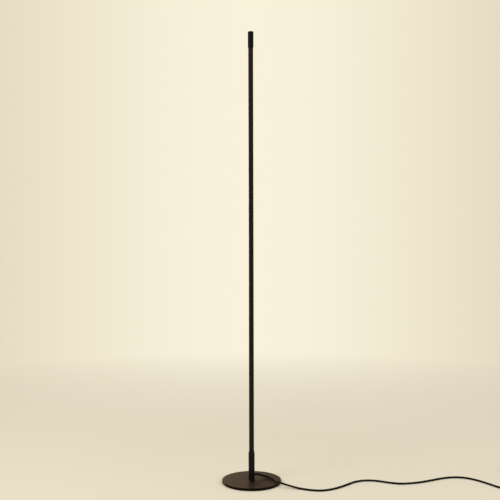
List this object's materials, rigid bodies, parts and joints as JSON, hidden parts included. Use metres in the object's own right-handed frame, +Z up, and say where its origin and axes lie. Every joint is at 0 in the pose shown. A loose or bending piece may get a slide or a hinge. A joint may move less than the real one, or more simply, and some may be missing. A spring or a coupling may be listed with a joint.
{
  "type": "led floor lamp",
  "caption": "Slim black floor lamp: a round weighted base, a turned stem and a tall one-sided led column that swivels, with a floor cord, foot switch and plug-in adapter.",
  "frame": {"origin": "centre of the foam pad's underside, on the floor, on the column's axis", "axes": "+Z up along the column; +X to the viewer's right; +Y away from the viewer, the way the led side faces at rest"},
  "size_m": [1.1493, 0.2503, 1.5],
  "materials": {
    "base_paint": "black powder coat, satin",
    "stem_paint": "black powder coat, satin",
    "column_paint": "black powder coat on aluminium, matte",
    "cap_paint": "black anodised aluminium, satin",
    "foam": "black foam, matte",
    "turned_steel": "turned steel, plain",
    "black_screws": "blackened steel, satin",
    "bearing_plastic": "natural acetal, satin",
    "turned_aluminium": "turned aluminium, plain",
    "seal_rubber": "black rubber, matte",
    "crimp_brass": "plated brass, plain",
    "wire_sheath": "coloured wire insulation, satin",
    "cord_sheath": "black flexible cord sheath, satin",
    "led_board": "white solder mask on an aluminium board, satin",
    "led_phosphor": "yellow phosphor in a white package",
    "component_body": "black component bodies, satin",
    "solder": "tinned bridges",
    "opal_plastic": "opal plastic, matte, lit warm white",
    "switch_plastic": "black plastic, fine grain",
    "button_plastic": "black plastic, satin",
    "spring_steel": "spring wire",
    "contact_block": "ivory plastic",
    "relief_rubber": "black soft plastic, matte",
    "adapter_plastic": "black plastic, fine grain",
    "pin_metal": "nickel-plated brass, bright",
    "circuit_board": "green circuit board",
    "transformer_tape": "yellow tape on a wound core",
    "capacitor_sleeve": "dark sleeve on an aluminium can",
    "tie_band": "black band, matte"
  },
  "bodies": {
    "stand": {"base_plate": "base_paint", "stem_sleeve": "stem_paint", "swivel_collar": "stem_paint", "base_pad": "foam", "stem_hub": "turned_steel", "base_bolt": "turned_steel", "base_washer": "turned_steel", "locating_pin": "turned_steel", "switch_screws": "turned_steel", "retaining_screw": "black_screws", "thrust_washer": "bearing_plastic", "cord_grommet": "seal_rubber", "cord_crimp": "crimp_brass", "lead_splices": "crimp_brass", "cord_core_wires": "wire_sheath", "switch_core_wires": "wire_sheath", "cord_tail": "cord_sheath", "cord_to_switch": "cord_sheath", "cord_to_coil": "cord_sheath", "cord_coil": "cord_sheath", "cord_to_plug": "cord_sheath", "cord_in_gland": "cord_sheath", "cord_out_gland": "cord_sheath", "cord_in_adapter": "cord_sheath", "switch_lower_shell": "switch_plastic", "switch_upper_shell": "switch_plastic", "switch_spring": "spring_steel", "switch_core": "contact_block", "switch_gland_in": "relief_rubber", "switch_gland_out": "relief_rubber", "adapter_relief": "relief_rubber", "switch_foot_pad": "relief_rubber", "adapter_housing": "adapter_plastic", "adapter_face": "adapter_plastic", "pin_sleeves": "adapter_plastic", "adapter_pins": "pin_metal", "adapter_board": "circuit_board", "adapter_transformer": "transformer_tape", "adapter_capacitors": "capacitor_sleeve", "coil_ties": "tie_band"},
    "column": {"column_profile": "column_paint", "column_journal": "turned_aluminium", "journal_screws": "turned_steel", "stop_pin": "turned_steel", "drag_ring": "seal_rubber", "diffuser": "opal_plastic", "led_board_1": "led_board", "led_board_2": "led_board", "led_board_3": "led_board", "led_chips_1": "led_phosphor", "led_chips_2": "led_phosphor", "led_chips_3": "led_phosphor", "led_resistors_1": "component_body", "led_resistors_2": "component_body", "led_resistors_3": "component_body", "board_links": "solder", "supply_leads": "wire_sheath", "top_cap": "cap_paint", "cap_screw": "black_screws"},
    "switch_button": {"switch_button": "button_plastic"}
  },
  "joints": [
    {"name": "column_turn", "type": "hinge", "parent": "stand", "child": "column", "pos_m": [0, 0, 0.037], "axis": [0, 0, 1], "range_deg": [-160, 160]},
    {"name": "switch_press", "type": "slide", "parent": "stand", "child": "switch_button", "axis": [0, 0, -1], "range_m": [0, 0.0025], "stiffness_N_per_m": 1000, "springref_m": -0.002, "deforming": ["switch_spring"]}
  ]
}
